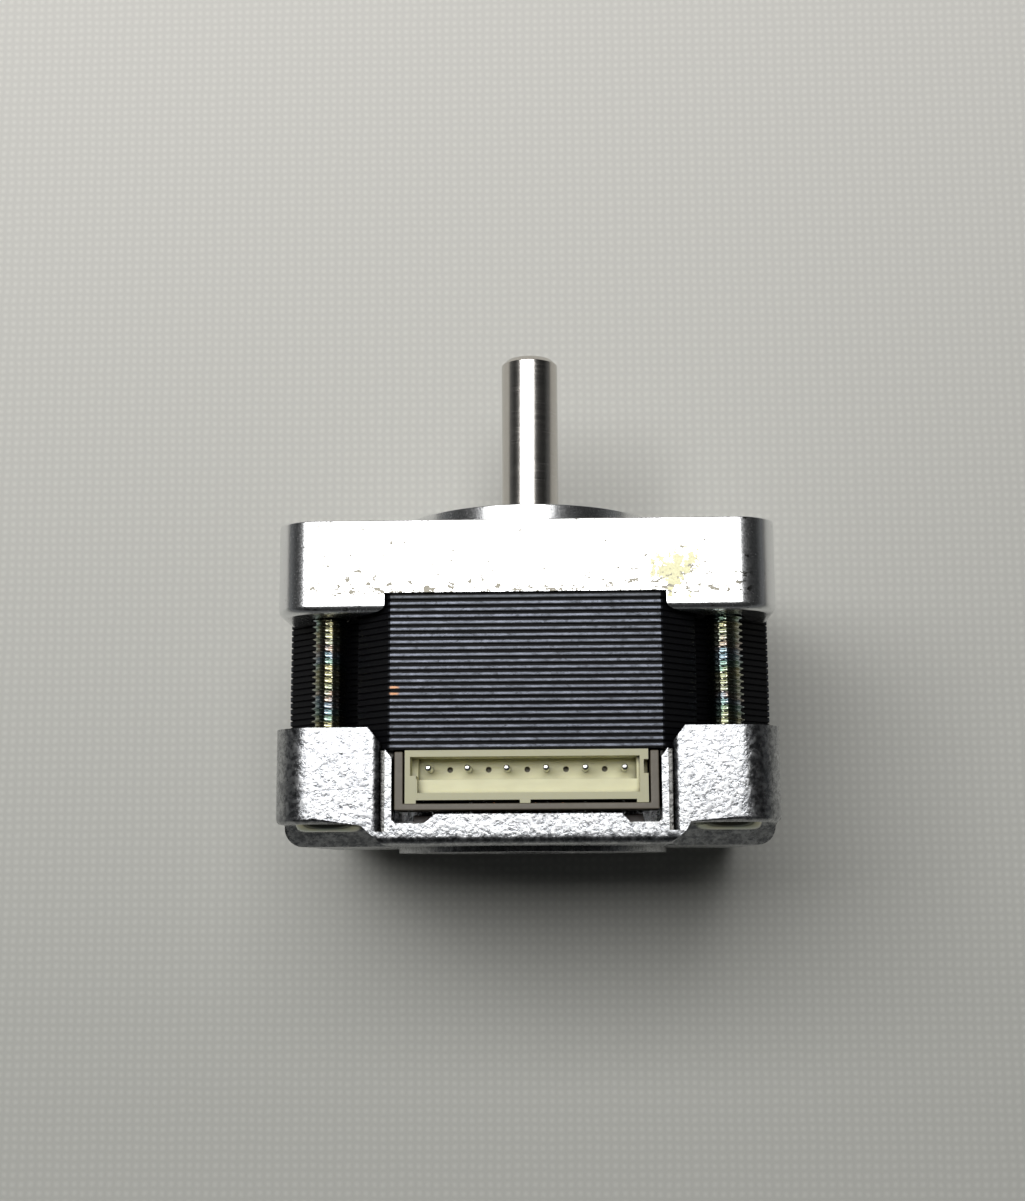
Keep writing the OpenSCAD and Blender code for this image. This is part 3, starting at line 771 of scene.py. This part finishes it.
def pin_path(x):
    """Places along a pin: centre, angle of its direction and radius. It ends at the terminal board."""
    dome, bend, arc_steps = 0.1, 0.3, 5
    upper_r, leg_r, least_r = PIN_R - 0.02, PIN_R - 0.03, 0.01
    height = pins_high.y - PIN_R
    tip, leg = pins_high.z, pins_low.z + PIN_R
    arc = [QUARTER * k / arc_steps for k in range(arc_steps + 1)]
    path = []
    for a in arc:
        centre = Vector((x, height, tip - dome + dome * math.cos(a)))
        path.append((centre, 0.0, max(PIN_R * math.sin(a), least_r)))
    for a in arc:
        centre = Vector((x, height - bend * (1 - math.cos(a)), leg + bend * (1 - math.sin(a))))
        path.append((centre, a, upper_r))
    path.append((Vector((x, board_high.y, leg)), QUARTER, leg_r))
    return path


def make_pins():
    """Six round contacts with domed tips, each bent down to the board."""
    bm = bmesh.new()
    steps = 20
    circle = [2 * math.pi * s / steps for s in range(steps)]
    pitch = (pins_high.x - pins_low.x - 2 * PIN_R) / (PINS - 1)
    for i in range(PINS):
        rings = []
        for centre, bent, r in pin_path(pins_low.x + PIN_R + i * pitch):
            up = Vector((0, math.cos(bent), -math.sin(bent)))
            across = Vector((1, 0, 0))
            points = [centre + across * r * math.cos(c) + up * r * math.sin(c) for c in circle]
            rings.append(ring(bm, points))
        bridge_all(bm, rings)
        cap(bm, rings[0])
        cap(bm, rings[-1])
    finish_mesh(bm, "socket_pins", "connector_pins", TIN, smooth=60)


# ---------------------------------------------------------------- coils

COIL_IN, COIL_OUT, COIL_DEPTH = 11.6, 13.3, 1.8      # two radii, and how far it stands off its pole
COIL_HALF_W = 2.4
COIL_HALF_L = (STACK_FRONT - STACK_REAR) / 2 + 0.5
COIL_CORNER_R = 0.02                 # inner corner
TURNS = 7                            # turns of wire that show along the outside


def coil_path(steps=8):
    """A rectangle across and along the pole: for each point, its corner's centre and its direction."""
    points = []
    for quarter, (side_x, side_y) in enumerate(((1, 1), (-1, 1), (-1, -1), (1, -1))):
        centre = Vector((side_x * (COIL_HALF_W - COIL_CORNER_R), side_y * (COIL_HALF_L - COIL_CORNER_R)))
        for k in range(steps + 1):
            a = QUARTER * (quarter + k / steps)
            points.append((centre, Vector((math.cos(a), math.sin(a)))))
    return points


def coil_section(steps=5):
    """Distance from the pole and radius around the coil's section, with one bump a turn outside."""
    wire = (COIL_OUT - COIL_IN) / TURNS
    flank = COIL_DEPTH - wire / 2
    section = [(0.0, COIL_IN), (flank, COIL_IN)]
    for turn in range(TURNS):
        for k in range(steps):
            a = math.pi * (k + 0.5) / steps
            rise = flank + wire / 2 * math.sin(a)
            section.append((rise, COIL_IN + (turn + 0.5 - 0.5 * math.cos(a)) * wire))
    section += [(flank, COIL_OUT), (0.0, COIL_OUT)]
    return section


def make_coils(name, node, poles):
    """Wound coils: a scalloped section swept around each pole."""
    middle = (STACK_FRONT + STACK_REAR) / 2
    bm = bmesh.new()
    for pole in poles:
        a = pole * 2 * math.pi / POLES
        out = Vector((math.cos(a), 0, -math.sin(a)))
        across = Vector((math.sin(a), 0, math.cos(a)))
        rings = []
        for centre, direction in coil_path():
            points = []
            for rise, radius in coil_section():
                at = centre + direction * (rise + COIL_CORNER_R)
                points.append(out * radius + across * at.x + Vector((0, middle + at.y, 0)))
            rings.append(ring(bm, points))
        bridge_all(bm, rings + rings[:1])
    finish_mesh(bm, name, node, COPPER, smooth=60)


# ---------------------------------------------------------------- build

make_flange()
make_cover()
make_stack()
make_screws()
make_socket()
make_pins()
make_coils("windings_a", "phase_a_coils", range(0, POLES, 2))
make_coils("windings_b", "phase_b_coils", range(1, POLES, 2))

shade_node("rotor_shaft", SHAFT, width=0.05)
shade_node("rotor_magnet", MAGNET, width=0.1)
shade_node("terminal_board", BOARD, width=0.05)
shade_node("coil_leads", COPPER)
shade_node("wave_spring", SPRING)
for end in ("front", "rear"):
    shade_node(end + "_bobbin", BLACK_NYLON, width=0.05)
    shade_node(end + "_rotor_cup", ROTOR_STEEL, width=0.03)
    shade_node(end + "_spacer", SPACER, width=0.08)
    shade_node(end + "_shim", SPRING)
    shade_node(end + "_bearing_inner_race", RACE, width=0.08)
    shade_node(end + "_bearing_outer_race", RACE, width=0.08)
    shade_node(end + "_bearing_balls", RACE)
    shade_node(end + "_bearing_cage", CAGE, width=0.03)
    shade_node(end + "_bearing_shields", SHIELD, width=0.04)


# ---------------------------------------------------------------- floor, light and camera

def make_floor(size):
    bpy.ops.mesh.primitive_plane_add(size=size, location=(0, 0, -HALF * MM))
    floor = bpy.context.object
    floor.name = "floor"
    floor.data.materials.append(pale_cloth())


def make_softbox(x, y, height, size, power):
    """A rectangular light that shines straight down. Lengths are metres and the power is watts."""
    data = bpy.data.lights.new("softbox", "AREA")
    data.shape = "RECTANGLE"
    data.size, data.size_y = size
    data.energy = power
    lamp = bpy.data.objects.new("softbox", data)
    bpy.context.scene.collection.objects.link(lamp)
    lamp.location = (x, y, height)
    down = Vector((0, 0, -1))
    lamp.rotation_euler = down.to_track_quat("-Z", "Y").to_euler()


def make_world(overhead, horizon):
    """A dark room with paler walls near the floor."""
    world = bpy.data.worlds.new("studio")
    world.use_nodes = True
    nodes, links = world.node_tree.nodes, world.node_tree.links
    up = nodes.new("ShaderNodeSeparateXYZ")
    links.new(nodes.new("ShaderNodeTexCoord").outputs["Generated"], up.inputs[0])
    fade = nodes.new("ShaderNodeMapRange")
    fade.interpolation_type = "SMOOTHSTEP"
    for name, value in (("From Min", 0.05), ("From Max", 0.45), ("To Min", horizon), ("To Max", overhead)):
        fade.inputs[name].default_value = value
    links.new(up.outputs["Z"], fade.inputs["Value"])
    background = nodes["Background"]
    background.inputs["Color"].default_value = rgb(0.95, 0.98, 1.0)
    links.new(fade.outputs[0], background.inputs["Strength"])
    bpy.context.scene.world = world


def make_camera(eye, aim, roll, focal):
    """Looks down on the plug side from a little behind the rear cover, as in the photo.

    The eye and the aim are in millimetres, the roll in degrees and the focal length in picture pixels.
    """
    image_height = 1201
    look = (aim - eye).normalized()
    up = Matrix.Rotation(math.radians(roll), 3, look) @ Vector((0, 1, 0))
    side = look.cross(up).normalized()
    up = side.cross(look)
    turn = Matrix((side, up, -look)).transposed().to_4x4()
    data = bpy.data.cameras.new("camera")
    data.sensor_fit = "VERTICAL"
    data.sensor_height = 36.0
    data.lens = focal * data.sensor_height / image_height
    data.clip_start = 0.001
    camera = bpy.data.objects.new("camera", data)
    bpy.context.scene.collection.objects.link(camera)
    camera.matrix_world = Matrix.Translation(eye * MM) @ turn
    bpy.context.scene.camera = camera


make_floor(size=3)
make_softbox(x=-0.092, y=0.105, height=0.40, size=(0.40, 0.2), power=1.95)
make_world(overhead=0.02, horizon=0.13)
make_camera(
    eye=Vector((3.47, REAR - 1.85, HALF + 130.0)), aim=Vector((-0.97, REAR + 18.57, HALF)),
    roll=0.3, focal=1712,
)
bpy.context.scene.view_settings.view_transform = "Standard"
